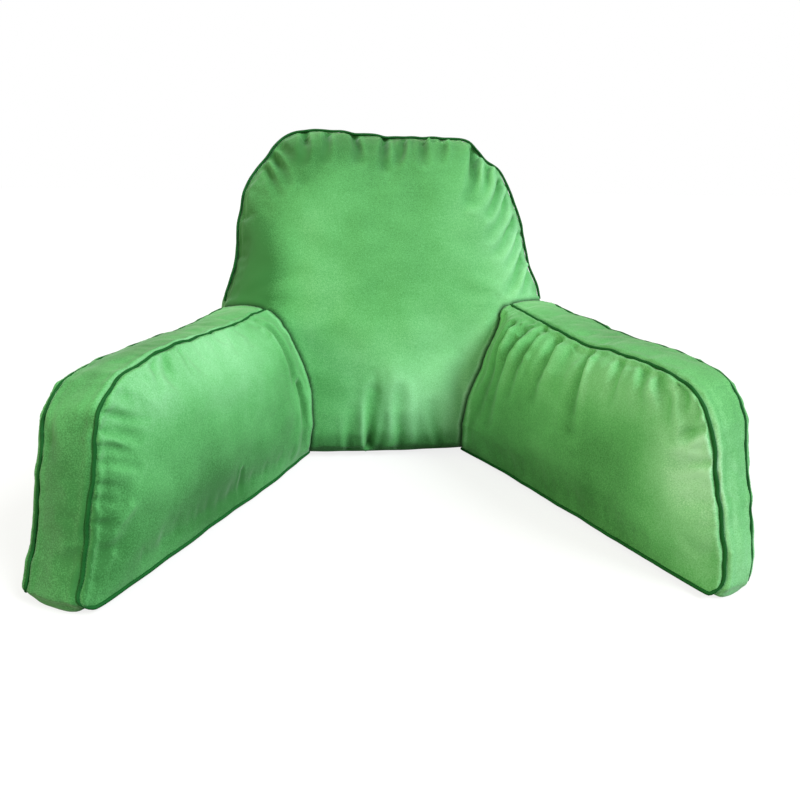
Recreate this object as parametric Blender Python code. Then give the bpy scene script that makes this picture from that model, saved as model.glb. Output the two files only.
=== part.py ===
"""Bed-rest back cushion: a reclined back with two splayed arms, boxed, filled and piped.

Metres, +Z up. X runs across the back, the arms reach towards -Y, and the floor is z = 0.
The origin is the middle of the back's base. Left is the -X side.
"""
import math

import bpy
import bmesh
from mathutils import Vector

COLLECTION_NAME = "back_cushion_with_arms"

# Clearances and piping
GAP = 0.0003                     # between pieces that touch
PIPING_RADIUS = 0.0025
PIPING_REST_HEIGHT = 0.0032      # centre of a cord that lies along the floor
LIP_INSET = 0.0020               # the fabric lips each side of the piping groove
LIP_RISE = 0.0030
GROOVE_DEPTH = 0.0031

# The back
RECLINE = math.radians(20.0)     # lean of the back from upright
BASE_FRONT = -0.085              # y of the base's front edge
SEAM_OFFSET = 0.022              # from there to where the reclined seam plane meets the floor
BACK_CENTRE_HEIGHT = 0.250
BACK_CROWN = 0.062               # how far the filled front panel stands proud of its seam
BACK_REAR_CROWN = 0.034
BACK_GUSSET_DEPTH = 0.117        # front seam to rear seam, measured level
BACK_BASE_DEPTH = 0.142          # the same at the floor
BACK_GUSSET_BULGE = 0.010
BACK_REAR_HEIGHT_SHARE = 0.975   # the rear seam runs a little lower than the front one
BACK_REAR_WIDTH_SHARE = 0.975    # and a little narrower
BACK_STATIONS = 96
BACK_PIPING_FOOT = 0.229         # the front cord ends on the arms' tops

# The arms, in their own frame: along from the back, out from the seat, up
ARM_ROOT_ACROSS = 0.132          # where the arms' inner base edges leave the back
ARM_CROWN_IN = 0.026
ARM_CROWN_OUT = 0.024
ARM_GUSSET_BULGE = 0.005
ARM_STATIONS = 72
ARM_LEAN_POWER = 1.8             # the inner panel leans out more towards its top

# Ring positions: share of the way from the panel's centre to its seam
FACE_RINGS = (0.97, 0.90, 0.78, 0.61, 0.41, 0.20)
REAR_RINGS = (0.96, 0.85, 0.64, 0.36)
GUSSET_RINGS = (0.14, 0.32, 0.50, 0.68, 0.86)
CROWN_POWER = 4.0                # flat in the middle, steep at the seam
SEAM_BEND_POWER = 3              # a seam's own bends fade out towards the panel's middle
SAMPLES_PER_ROW = 24             # fineness with which a seam's length is measured

VELVET_GREEN = (0.115, 0.500, 0.145, 1.0)
PIPING_GREEN = (0.010, 0.125, 0.025, 1.0)
VELVET_ROUGHNESS = 0.85
VELVET_SHEEN = 0.4
SHARP_ANGLE = math.radians(50.0)
WELD_DISTANCE = 0.00005
CORD_BEVEL_RESOLUTION = 1        # six sides

# Front seam of the back below the arms' tops, right half, from the middle out.
# set_back is the level distance behind the reclined seam plane.
BACK_LOWER_SEAM = (
    # across, height, set_back
    (0.070, PIPING_REST_HEIGHT, -0.027),
    (0.125, PIPING_REST_HEIGHT, -0.021),
    (0.185, PIPING_REST_HEIGHT, 0.021),
    (0.232, PIPING_REST_HEIGHT, 0.070),
    (0.250, 0.090, 0.036),
    (0.258, 0.175, 0.006),
)
# Front seam above the arms, from the right arm over the head to the left arm.
BACK_UPPER_SEAM = (
    # across, height
    (0.260, 0.218),
    (0.246, 0.263),
    (0.234, 0.305),
    (0.227, 0.355),
    (0.211, 0.400),
    (0.191, 0.434),
    (0.176, 0.441),
    (0.163, 0.458),
    (0.146, 0.473),
    (0.106, 0.478),
    (0.039, 0.476),
    (-0.041, 0.482),
    (-0.110, 0.486),
    (-0.147, 0.479),
    (-0.169, 0.467),
    (-0.175, 0.453),
    (-0.188, 0.438),
    (-0.217, 0.397),
    (-0.230, 0.345),
    (-0.235, 0.300),
    (-0.244, 0.257),
    (-0.258, 0.215),
)

# Seam outline of each arm's panels, from the rear base corner under the seat forward.
# The first and last rows lie inside the back, which cuts the arm off at its surface.
ARM_OUTLINE_LEFT = (
    # along, up
    (-0.062, 0.100),
    (-0.060, PIPING_REST_HEIGHT),
    (0.100, PIPING_REST_HEIGHT),
    (0.300, PIPING_REST_HEIGHT),
    (0.450, PIPING_REST_HEIGHT),
    (0.467, 0.013),
    (0.453, 0.046),
    (0.438, 0.092),
    (0.427, 0.136),
    (0.416, 0.178),
    (0.402, 0.199),
    (0.380, 0.213),
    (0.350, 0.221),
    (0.255, 0.226),
    (0.110, 0.221),
    (-0.060, 0.217),
)
ARM_OUTLINE_RIGHT = (
    # along, up
    (-0.062, 0.100),
    (-0.060, PIPING_REST_HEIGHT),
    (0.100, PIPING_REST_HEIGHT),
    (0.300, PIPING_REST_HEIGHT),
    (0.460, PIPING_REST_HEIGHT),
    (0.476, 0.014),
    (0.466, 0.064),
    (0.452, 0.113),
    (0.438, 0.162),
    (0.425, 0.189),
    (0.405, 0.206),
    (0.365, 0.216),
    (0.285, 0.217),
    (0.195, 0.214),
    (0.100, 0.219),
    (-0.060, 0.221),
)
ARM_SIDES = {
    # sign: side of the seat; splay: turn from straight ahead; front_width: gusset at the front end;
    # outer_rise: how much higher the outer seam runs than the inner one, half way along
    "left": {"sign": -1, "splay": math.radians(27.0), "front_width_base": 0.067,
             "front_width_top": 0.057, "outer_rise": -0.009, "outline": ARM_OUTLINE_LEFT},
    "right": {"sign": 1, "splay": math.radians(20.8), "front_width_base": 0.041,
              "front_width_top": 0.045, "outer_rise": 0.006, "outline": ARM_OUTLINE_RIGHT},
}
ARM_TOP_LEAN = 0.066             # the inner panel's top, outwards at the back end
ARM_LEAN_END = 0.430             # along, where that lean has faded out
ARM_REAR_WIDTH_BASE = 0.138      # the arm is wider where it is sewn to the back
ARM_REAR_WIDTH_TOP = 0.150
ARM_REAR_ALONG = -0.045          # along, where those rear widths hold
ARM_CORD_START = -0.058          # the cords reach this far into the back before they are cut
ARM_HEIGHT = 0.223
ARM_LENGTH = 0.466

# Soft folds of the panels: a row is a trough (negative) or a ridge from one place to another.
BACK_FOLDS = (
    # from_across, from_height, to_across, to_height, width, rise
    (-0.120, 0.480, -0.116, 0.435, 0.011, -0.006),
    (-0.082, 0.482, -0.080, 0.430, 0.011, -0.006),
    (-0.036, 0.480, -0.034, 0.425, 0.012, -0.008),
    (0.012, 0.476, 0.010, 0.405, 0.012, -0.011),
    (0.046, 0.476, 0.036, 0.420, 0.011, -0.007),
    (0.082, 0.476, 0.078, 0.430, 0.011, -0.007),
    (0.118, 0.476, 0.112, 0.435, 0.011, -0.005),
    (0.160, 0.455, 0.150, 0.395, 0.013, -0.011),
    (-0.172, 0.455, -0.140, 0.405, 0.013, -0.008),
    (0.215, 0.385, 0.165, 0.350, 0.014, -0.006),
    (0.228, 0.330, 0.175, 0.300, 0.014, -0.006),
    (-0.026, 0.115, -0.030, 0.010, 0.014, -0.010),
    (0.012, 0.130, 0.016, 0.050, 0.016, 0.006),
    (0.060, 0.110, 0.075, 0.020, 0.016, -0.005),
)
ARM_FOLDS = {
    "left": (
        # from_along, from_up, to_along, to_up, width, rise
        (0.410, 0.185, 0.330, 0.178, 0.011, -0.006),
        (0.425, 0.150, 0.345, 0.150, 0.011, -0.006),
        (0.430, 0.118, 0.355, 0.116, 0.011, -0.005),
        (0.310, 0.225, 0.280, 0.185, 0.012, -0.006),
        (0.240, 0.225, 0.225, 0.190, 0.012, -0.005),
    ),
    "right": (
        (0.110, 0.220, 0.090, 0.155, 0.014, -0.008),
        (0.160, 0.218, 0.145, 0.160, 0.014, -0.008),
        (0.215, 0.214, 0.200, 0.155, 0.014, -0.008),
        (0.305, 0.215, 0.295, 0.160, 0.014, -0.007),
        (0.395, 0.195, 0.335, 0.165, 0.014, -0.008),
    ),
}
NO_FOLDS = ()
FOLD_FADE = 0.7                  # share of its depth that a fold loses towards its far end

BACK_OUT = Vector((0.0, -math.cos(RECLINE), math.sin(RECLINE)))


# Splines

def spline_point(rows, position):
    """Point of the closed Catmull-Rom spline through rows, at a position counted in rows."""
    count = len(rows)
    index = int(math.floor(position))
    t = position - index
    before, start, end, after = (rows[(index + step) % count] for step in (-1, 0, 1, 2))
    return 0.5 * (2.0 * start + (end - before) * t
                  + (2.0 * before - 5.0 * start + 4.0 * end - after) * t ** 2
                  + (3.0 * start - 3.0 * end + after - before) * t ** 3)


def even_positions(rows, count):
    """Positions on the spline that divide its length into equal steps."""
    total_samples = len(rows) * SAMPLES_PER_ROW
    positions = [sample / SAMPLES_PER_ROW for sample in range(total_samples + 1)]
    points = [spline_point(rows, position) for position in positions]
    lengths = [0.0]
    for start, end in zip(points, points[1:]):
        lengths.append(lengths[-1] + (end - start).length)
    even = []
    sample = 0
    for station in range(count):
        wanted = lengths[-1] * station / count
        while lengths[sample + 1] < wanted:
            sample += 1
        share = (wanted - lengths[sample]) / (lengths[sample + 1] - lengths[sample])
        even.append(positions[sample] + share / SAMPLES_PER_ROW)
    return even


# Boxed cushions

def crown_share(ring):
    return math.sqrt(1.0 - ring ** CROWN_POWER)


def outward_directions(loop, normal, centre):
    """In-plane directions that point away from the panel at each station of its seam."""
    directions = []
    for index, point in enumerate(loop):
        tangent = loop[(index + 1) % len(loop)] - loop[index - 1]
        outward = tangent.cross(normal).normalized()
        if outward.dot(point - centre) < 0.0:
            outward.negate()
        directions.append(outward)
    return directions


def fold_rise(folds, first, second):
    """Height that the folds add at a place of the panel."""
    total = 0.0
    for from_first, from_second, to_first, to_second, width, rise in folds:
        run_first = to_first - from_first
        run_second = to_second - from_second
        length_squared = run_first ** 2 + run_second ** 2
        share = ((first - from_first) * run_first + (second - from_second) * run_second) / length_squared
        share = min(max(share, 0.0), 1.0)
        away_squared = ((first - from_first - share * run_first) ** 2
                        + (second - from_second - share * run_second) ** 2)
        total += rise * math.exp(-away_squared / width ** 2) * (1.0 - FOLD_FADE * share)
    return total


def panel_rings(loop, centre, normal, crown, rings, folds, place):
    """Rings of a crowned panel from its middle to its seam. place gives a point's fold coordinates."""
    result = []
    for ring in sorted(rings):
        points = []
        for seam in loop:
            span = seam - centre
            bend = normal * span.dot(normal)
            flat = centre + (span - bend) * ring + bend * ring ** SEAM_BEND_POWER
            first, second = place(flat)
            rise = crown * crown_share(ring) + fold_rise(folds, first, second)
            points.append(flat + normal * rise)
        result.append(points)
    return result


def groove_rings(loop, outward, normal):
    """Panel lip, groove and gusset lip that hold the piping along a seam."""
    panel_lip = [p - o * LIP_INSET + normal * LIP_RISE for p, o in zip(loop, outward)]
    groove = [p - o * GROOVE_DEPTH for p, o in zip(loop, outward)]
    gusset_lip = [p - o * LIP_INSET - normal * LIP_RISE for p, o in zip(loop, outward)]
    return [panel_lip, groove, gusset_lip]


def loft(name, rings, first_pole, last_pole):
    """One closed body through the rings, closed by a point at each end."""
    mesh = bpy.data.meshes.new(name)
    shape = bmesh.new()
    for ring in rings:
        for point in ring:
            point.z = max(point.z, 0.0)
    layers = [[shape.verts.new(point) for point in ring] for ring in rings]
    start = shape.verts.new(first_pole)
    end = shape.verts.new(last_pole)
    count = len(layers[0])
    for index in range(count):
        after = (index + 1) % count
        shape.faces.new((start, layers[0][index], layers[0][after]))
        shape.faces.new((end, layers[-1][after], layers[-1][index]))
        for lower, upper in zip(layers, layers[1:]):
            shape.faces.new((lower[index], upper[index], upper[after], lower[after]))
    bmesh.ops.recalc_face_normals(shape, faces=shape.faces)
    bmesh.ops.triangulate(shape, faces=shape.faces)
    shape.to_mesh(mesh)
    shape.free()
    mesh.shade_smooth()
    mesh.set_sharp_from_angle(angle=SHARP_ANGLE)
    return bpy.data.objects.new(name, mesh)


def boxed_cushion(name, face, rear, bulge):
    """Filled cushion of a face panel, a gusset and a rear panel. face and rear are dictionaries."""
    rings = panel_rings(face["loop"], face["centre"], face["normal"], face["crown"],
                        FACE_RINGS, face["folds"], face["place"])
    rings += groove_rings(face["loop"], face["outward"], face["normal"])
    for share in GUSSET_RINGS:
        swell = bulge * 4.0 * share * (1.0 - share)
        rings.append([front.lerp(back, share) + outward.lerp(outward_rear, share) * swell
                      for front, back, outward, outward_rear
                      in zip(face["loop"], rear["loop"], face["outward"], rear["outward"])])
    rings += reversed(groove_rings(rear["loop"], rear["outward"], rear["normal"]))
    rings += reversed(panel_rings(rear["loop"], rear["centre"], rear["normal"], rear["crown"],
                                  REAR_RINGS, rear["folds"], rear["place"]))
    first_pole = face["centre"] + face["normal"] * face["crown"]
    last_pole = rear["centre"] + rear["normal"] * rear["crown"]
    return loft(name, rings, first_pole, last_pole)


def panel(loop, centre, normal, crown, folds, place):
    return {"loop": loop, "centre": centre, "normal": normal, "crown": crown, "folds": folds,
            "place": place, "outward": outward_directions(loop, normal, centre)}


# The back

def reclined_point(across, height, set_back):
    depth = BASE_FRONT + SEAM_OFFSET + height * math.tan(RECLINE) + set_back
    return Vector((across, depth, height))


def back_seam_rows():
    """Closed front and rear seam rows of the back, from the middle of the base anticlockwise."""
    base_middle = (0.0, PIPING_REST_HEIGHT, -0.028)
    upper = [(across, height, 0.0) for across, height in BACK_UPPER_SEAM]
    left_lower = [(-across, height, set_back) for across, height, set_back in reversed(BACK_LOWER_SEAM)]
    rows = [base_middle] + list(BACK_LOWER_SEAM) + upper + left_lower
    front = [reclined_point(*row) for row in rows]
    rear = []
    for across, height, _ in rows:
        foot = 1.0 - min(height / ARM_HEIGHT, 1.0)
        depth = BACK_GUSSET_DEPTH + (BACK_BASE_DEPTH - BACK_GUSSET_DEPTH) * foot
        rear_height = max(height * BACK_REAR_HEIGHT_SHARE, PIPING_REST_HEIGHT)
        rear.append(reclined_point(across * BACK_REAR_WIDTH_SHARE, rear_height, depth))
    return front, rear


def back_panels():
    front_rows, rear_rows = back_seam_rows()
    positions = even_positions(front_rows, BACK_STATIONS)
    front_loop = [spline_point(front_rows, position) for position in positions]
    rear_loop = [spline_point(rear_rows, position) for position in positions]
    for point in front_loop + rear_loop:
        point.z = max(point.z, PIPING_REST_HEIGHT)
    front_centre = reclined_point(0.0, BACK_CENTRE_HEIGHT, 0.0)
    rear_centre = reclined_point(0.0, BACK_CENTRE_HEIGHT, BACK_GUSSET_DEPTH)

    def place(point):
        return point.x, point.z

    front = panel(front_loop, front_centre, BACK_OUT, BACK_CROWN, BACK_FOLDS, place)
    rear = panel(rear_loop, rear_centre, -BACK_OUT, BACK_REAR_CROWN, NO_FOLDS, place)
    return front, rear


# The arms

def arm_frame(side):
    spec = ARM_SIDES[side]
    root = Vector((spec["sign"] * ARM_ROOT_ACROSS, BASE_FRONT, 0.0))
    along = Vector((spec["sign"] * math.sin(spec["splay"]), -math.cos(spec["splay"]), 0.0))
    out = Vector((spec["sign"] * math.cos(spec["splay"]), math.sin(spec["splay"]), 0.0))
    return root, along, out


def arm_panels(side):
    spec = ARM_SIDES[side]
    root, along_axis, out_axis = arm_frame(side)

    def inner_point(along, up):
        fade = max(1.0 - along / ARM_LEAN_END, 0.0)
        lean = ARM_TOP_LEAN * fade * (up / ARM_HEIGHT) ** ARM_LEAN_POWER
        return root + along_axis * along + out_axis * lean + Vector((0.0, 0.0, up))

    def outer_point(along, up):
        share = (along - ARM_REAR_ALONG) / (ARM_LENGTH - ARM_REAR_ALONG)
        height_share = up / ARM_HEIGHT
        rear_width = ARM_REAR_WIDTH_BASE + (ARM_REAR_WIDTH_TOP - ARM_REAR_WIDTH_BASE) * height_share
        front_width = (spec["front_width_base"]
                       + (spec["front_width_top"] - spec["front_width_base"]) * height_share)
        width = rear_width + (front_width - rear_width) * share
        rise = spec["outer_rise"] * height_share * math.sin(math.pi * min(max(share, 0.0), 1.0))
        return root + along_axis * along + out_axis * width + Vector((0.0, 0.0, up + rise))

    inner_rows = [inner_point(*row) for row in spec["outline"]]
    outer_rows = [outer_point(*row) for row in spec["outline"]]
    positions = even_positions(inner_rows, ARM_STATIONS)
    inner_loop = [spline_point(inner_rows, position) for position in positions]
    outer_loop = [spline_point(outer_rows, position) for position in positions]
    for point in inner_loop + outer_loop:
        point.z = max(point.z, PIPING_REST_HEIGHT)
    middle = (0.5 * (ARM_LENGTH + ARM_REAR_ALONG), 0.5 * ARM_HEIGHT)

    def place(point):
        return (point - root).dot(along_axis), point.z

    inner = panel(inner_loop, inner_point(*middle), -out_axis, ARM_CROWN_IN, ARM_FOLDS[side], place)
    outer = panel(outer_loop, outer_point(*middle), out_axis, ARM_CROWN_OUT, NO_FOLDS, place)
    return inner, outer


# Piping

def cord_curve(name, points, closed):
    curve = bpy.data.curves.new(name, "CURVE")
    curve.dimensions = "3D"
    curve.bevel_depth = PIPING_RADIUS
    curve.bevel_resolution = CORD_BEVEL_RESOLUTION
    curve.use_fill_caps = not closed
    spline = curve.splines.new("POLY")
    spline.points.add(len(points) - 1)
    for slot, point in zip(spline.points, points):
        slot.co = (point.x, point.y, point.z, 1.0)
    spline.use_cyclic_u = closed
    return bpy.data.objects.new(name, curve)


def longest_run(loop, keep):
    """The stations of a closed loop that keep accepts, in one run."""
    count = len(loop)
    start = next(index for index in range(count) if keep(loop[index]) and not keep(loop[index - 1]))
    run = []
    index = start
    while keep(loop[index % count]) and len(run) < count:
        run.append(loop[index % count])
        index += 1
    return run


# Scene assembly

def new_collection(name):
    collection = bpy.data.collections.new(name)
    bpy.context.scene.collection.children.link(collection)
    return collection


def cloth_material(name, colour):
    material = bpy.data.materials.new(name)
    material.use_nodes = True
    shader = material.node_tree.nodes["Principled BSDF"]
    shader.inputs["Base Color"].default_value = colour
    shader.inputs["Roughness"].default_value = VELVET_ROUGHNESS
    shader.inputs["Metallic"].default_value = 0.0
    shader.inputs["Sheen Weight"].default_value = VELVET_SHEEN
    return material


def add_part(collection, part, colour):
    collection.objects.link(part)
    part.data.materials.append(cloth_material(part.name, colour))
    return part


def mesh_from_curve(cord):
    """Replace a cord by a welded mesh, so that a Boolean can cut it."""
    name = cord.name
    colour_material = cord.data.materials[0]
    depsgraph = bpy.context.evaluated_depsgraph_get()
    mesh = bpy.data.meshes.new_from_object(cord.evaluated_get(depsgraph))
    shape = bmesh.new()
    shape.from_mesh(mesh)
    bmesh.ops.remove_doubles(shape, verts=shape.verts, dist=WELD_DISTANCE)
    bmesh.ops.recalc_face_normals(shape, faces=shape.faces)
    shape.to_mesh(mesh)
    shape.free()
    matrix = cord.matrix_world.copy()
    collection = cord.users_collection[0]
    bpy.data.objects.remove(cord)
    part = bpy.data.objects.new(name, mesh)
    part.matrix_world = matrix
    collection.objects.link(part)
    if not mesh.materials:
        mesh.materials.append(colour_material)
    return part


def cut_with(part, cutter):
    cut = part.modifiers.new("cut_at_back", "BOOLEAN")
    cut.operation = "DIFFERENCE"
    cut.solver = "EXACT"
    cut.object = cutter


def clearance_copy(part, collection):
    """The back, grown by the gap, as the cutter that ends the arms at its surface."""
    cutter = bpy.data.objects.new(part.name + "_clearance", part.data.copy())
    grow = cutter.modifiers.new("gap", "DISPLACE")
    grow.direction = "NORMAL"
    grow.mid_level = 0.0
    grow.strength = GAP
    cutter.hide_render = True
    cutter.display_type = "WIRE"
    collection.objects.link(cutter)
    return cutter


def build():
    for old in list(bpy.data.objects):
        bpy.data.objects.remove(old)
    parts = new_collection(COLLECTION_NAME)
    cutters = new_collection("cutters")

    back_front, back_rear = back_panels()
    back = add_part(parts, boxed_cushion("back_cushion", back_front, back_rear, BACK_GUSSET_BULGE),
                    VELVET_GREEN)
    cutter = clearance_copy(back, cutters)
    head_run = longest_run(back_front["loop"], lambda point: point.z > BACK_PIPING_FOOT)
    add_part(parts, cord_curve("back_piping_front", head_run, closed=False), PIPING_GREEN)
    add_part(parts, cord_curve("back_piping_rear", back_rear["loop"], closed=True), PIPING_GREEN)

    for side in ("left", "right"):
        inner, outer = arm_panels(side)
        arm = add_part(parts, boxed_cushion("arm_" + side, inner, outer, ARM_GUSSET_BULGE), VELVET_GREEN)
        cut_with(arm, cutter)
        root, along_axis, _ = arm_frame(side)
        for seam_name, seam in (("inner", inner), ("outer", outer)):
            run = longest_run(seam["loop"], lambda point: (point - root).dot(along_axis) > ARM_CORD_START)
            cord = add_part(parts, cord_curve("arm_" + side + "_piping_" + seam_name, run, closed=False),
                            PIPING_GREEN)
            cut_with(mesh_from_curve(cord), cutter)


build()
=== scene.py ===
"""Look of the bed-rest back cushion: filled velvet panels, cord piping, creases, floor and light.

Metres, +Z up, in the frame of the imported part. Left is the -X side.
"""
import math

import bmesh
import bpy
import numpy as np
from mathutils import Matrix, Vector, noise
from mathutils.bvhtree import BVHTree
from mathutils.kdtree import KDTree


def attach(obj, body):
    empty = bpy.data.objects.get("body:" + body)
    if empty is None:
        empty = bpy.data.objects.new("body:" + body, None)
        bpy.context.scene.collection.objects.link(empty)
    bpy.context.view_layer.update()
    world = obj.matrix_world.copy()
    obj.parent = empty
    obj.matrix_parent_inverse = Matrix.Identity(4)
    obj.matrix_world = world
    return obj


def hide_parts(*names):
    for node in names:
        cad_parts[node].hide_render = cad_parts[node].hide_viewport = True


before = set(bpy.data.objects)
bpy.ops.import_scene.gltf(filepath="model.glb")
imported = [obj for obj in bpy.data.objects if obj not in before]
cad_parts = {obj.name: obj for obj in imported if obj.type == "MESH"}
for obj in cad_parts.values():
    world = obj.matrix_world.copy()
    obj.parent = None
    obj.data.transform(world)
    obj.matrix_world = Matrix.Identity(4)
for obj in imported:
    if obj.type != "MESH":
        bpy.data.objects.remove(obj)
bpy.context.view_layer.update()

MERGE_DISTANCE = 0.00005
FAR = 1.0                        # stands for nothing near
TINY = 1e-6                      # keeps a length from being zero

# Where the pieces lie, as the part is built
RECLINE = math.radians(20.0)
ARM_ROOT_ACROSS = 0.132
ARM_WIDTH = 0.115
BASE_FRONT = -0.085
SPLAY_LEFT = math.radians(27.0)
SPLAY_RIGHT = math.radians(20.8)

# Filling. A pair of numbers is the range over which an effect fades, if nothing else is said.
BACK_FILL = 0.8
ARM_FILL = 0.75
BACK_VOXEL = 0.0070
ARM_VOXEL = 0.00525
START_SHRINK = 0.0020            # the cloth starts this much inside the solid and is blown out again
PIN_SEAM = (0.0045, 0.0125)      # the cloth is held at its seams, on the floor and at a neighbour
PIN_FLOOR = (0.003, 0.009)
PIN_CONTACT = (0.003, 0.009)
PIN_LEVELS = 50
FILL_PRESSURE = 4.0
FILL_FRAMES = 20
FILL_CAP = 0.022
SEAM_EASE = -0.030               # extra cloth gathered into the seams
PANEL_EASE = 0.0
EASE_FADE = (0.015, 0.050)
EASE_OFF_FLOOR = (0.010, 0.060)
CROWNED_FACING = (0.2, 0.7)
PLAIN_FACE_EASE = 0.25           # share of that ease on the faces other than the crowned panel
REFINE_REACH = 0.0075            # the mesh is made finer this close to a seam
SNUG = (0.0025, 0.0060)          # where cushions touch, the cloth keeps to its solid
CLOTH = {
    "quality": 5, "mass": 0.25, "tension_stiffness": 12.0, "compression_stiffness": 12.0,
    "shear_stiffness": 4.0, "bending_stiffness": 2.5, "pin_stiffness": 2.0,
}

# Piping
CORD_RADIUS = 0.0021
CORD_BEVEL = 3
CORD_FLOOR_STAND = 0.0015        # the arms' piping lies this far out where it runs along the floor
CORD_FLOOR_LOOK = 0.012
CORD_FLOOR_HEIGHT = 0.012
CORD_FLOOR_GAP = 0.0004
CORD_SMOOTHING = 3
RING_EDGE_LIMIT = 0.0045         # the edges round a cord's CAD solid are shorter than this
WHOLE_RING = 5                   # a ring with fewer vertices lies on a straight run and is skipped
CORD_CROWDED = 0.008
CORD_SPAN = 0.018
CORD_STEP = 0.004
CORD_TUCK = 0.002                # length of a cord's end that is sewn into the next seam
BACK_CORD_TUCK = 0.014           # the back's front piping runs this far down behind the arms' tops
TUCK_POINTS = 4
SEAM_STEP = 0.003                # spacing of the points by which the cloth finds its seams

# Each cord: which way its gap lies, or None where it is a closed loop, how far its middle stands
# proud of the cloth, and on which side of its arm it lies, -1 inner and 1 outer
TOWARDS_BACK = (0.0, 1.0, 0.0)
CORDS = {
    # cord: (gap, stand, side)
    "back_piping_front": ((0.0, 0.0, -1.0), 0.0028, 0.0),
    "back_piping_rear": (None, 0.0008, 0.0),
    "arm_left_piping_inner": (TOWARDS_BACK, 0.0003, -1.0),
    "arm_left_piping_outer": (TOWARDS_BACK, 0.0004, 1.0),
    "arm_right_piping_inner": (TOWARDS_BACK, 0.0005, -1.0),
    "arm_right_piping_outer": (TOWARDS_BACK, 0.0004, 1.0),
}
# The back's front seam rolls forwards on to its panel, and dips inwards where it is gathered
BACK_MIDDLE = Vector((0.0, 0.006, 0.250))
SEAM_ROLL = 0.0036
SEAM_DIPS = (
    # across, deep, up, reach, dip
    (0.168, 0.078, 0.444, 0.020, 0.0200),
    (-0.232, 0.018, 0.285, 0.045, 0.0070),
)

# Camera, fitted to the photograph's own view
CAMERA_PLACE = Vector((-0.103, -1.126, 0.407))
CAMERA_YAW = math.radians(6.5)
CAMERA_PITCH = math.radians(17.0)
CAMERA_ROLL = math.radians(0.7)
FOCAL_PIXELS = 709.7
IMAGE_PIXELS = 800.0
SENSOR_WIDTH = 36.0
CLIP_NEAR = 0.05
CLIP_FAR = 50.0

UP = Vector((0.0, 0.0, 1.0))


# Faces on which creases are placed: origin, first axis, second axis, outward normal

def arm_faces(sign, splay):
    root = Vector((sign * ARM_ROOT_ACROSS, BASE_FRONT, 0.0))
    along = Vector((sign * math.sin(splay), -math.cos(splay), 0.0))
    out = Vector((sign * math.cos(splay), math.sin(splay), 0.0))
    return {"inner": (root, along, UP, -out), "front": (root, out, UP, along),
            "top": (root, along, out, UP)}


BACK_FACES = {
    "front": (Vector((0.0, 0.0, 0.0)), Vector((1.0, 0.0, 0.0)), UP,
              Vector((0.0, -math.cos(RECLINE), math.sin(RECLINE)))),
    "top": (Vector((0.0, 0.0, 0.0)), Vector((1.0, 0.0, 0.0)), Vector((0.0, 1.0, 0.0)),
            Vector((0.0, math.sin(RECLINE), math.cos(RECLINE)))),
}
LEFT_FACES = arm_faces(-1, SPLAY_LEFT)
RIGHT_FACES = arm_faces(1, SPLAY_RIGHT)

# Creases: each row runs from one place on the face to another. bow is how far its middle
# stands aside, depth is negative for a trough and positive for a ridge.
BACK_CREASES = (
    # from_across, from_height, to_across, to_height, bow, width, depth
    (-0.121, 0.484, -0.127, 0.440, 0.002, 0.0048, -0.0068),
    (-0.086, 0.482, -0.091, 0.444, 0.000, 0.0046, -0.0070),
    (-0.043, 0.480, -0.042, 0.440, 0.002, 0.0048, -0.0075),
    (0.007, 0.476, -0.001, 0.432, -0.002, 0.0048, -0.0095),
    (0.038, 0.476, 0.019, 0.438, 0.002, 0.0044, -0.0075),
    (0.068, 0.476, 0.062, 0.441, 0.000, 0.0046, -0.0075),
    (0.101, 0.477, 0.092, 0.444, 0.000, 0.0046, -0.0060),
    (-0.178, 0.450, -0.153, 0.408, 0.003, 0.0050, -0.0085),
    (-0.192, 0.434, -0.164, 0.390, 0.003, 0.0048, -0.0062),
    (0.150, 0.456, 0.134, 0.384, 0.004, 0.0062, -0.0120),
    (0.172, 0.430, 0.146, 0.376, 0.003, 0.0054, -0.0070),
    (0.192, 0.410, 0.166, 0.362, 0.002, 0.0048, -0.0090),
    (0.204, 0.386, 0.168, 0.330, 0.003, 0.0052, -0.0060),
    (0.215, 0.352, 0.180, 0.306, 0.002, 0.0050, -0.0090),
    (0.223, 0.328, 0.196, 0.284, 0.001, 0.0040, -0.0055),
    (0.230, 0.306, 0.194, 0.246, 0.003, 0.0050, -0.0095),
    (0.238, 0.276, 0.214, 0.236, 0.002, 0.0042, -0.0060),
    (-0.034, 0.020, -0.025, 0.104, 0.002, 0.0052, -0.0085),
    (-0.046, 0.024, -0.040, 0.090, 0.002, 0.0052, 0.0035),
    (-0.006, 0.020, 0.004, 0.125, 0.002, 0.0070, 0.0050),
    (0.014, 0.014, 0.016, 0.105, 0.002, 0.0055, -0.0040),
    (0.033, 0.025, 0.027, 0.120, -0.002, 0.0062, 0.0038),
    (-0.066, 0.014, -0.059, 0.076, 0.002, 0.0055, -0.0040),
    (0.079, 0.014, 0.064, 0.080, 0.002, 0.0055, -0.0040),
)
BACK_TOP_CREASES = (
    # from_across, from_behind, to_across, to_behind, bow, width, depth
    (0.088, 0.102, 0.114, 0.102, 0.000, 0.014, 0.0150),
    (0.114, 0.102, 0.088, 0.102, 0.000, 0.014, 0.0150),
    (0.166, 0.099, 0.180, 0.099, 0.000, 0.012, 0.0160),
    (0.180, 0.099, 0.166, 0.099, 0.000, 0.012, 0.0160),
)
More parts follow.
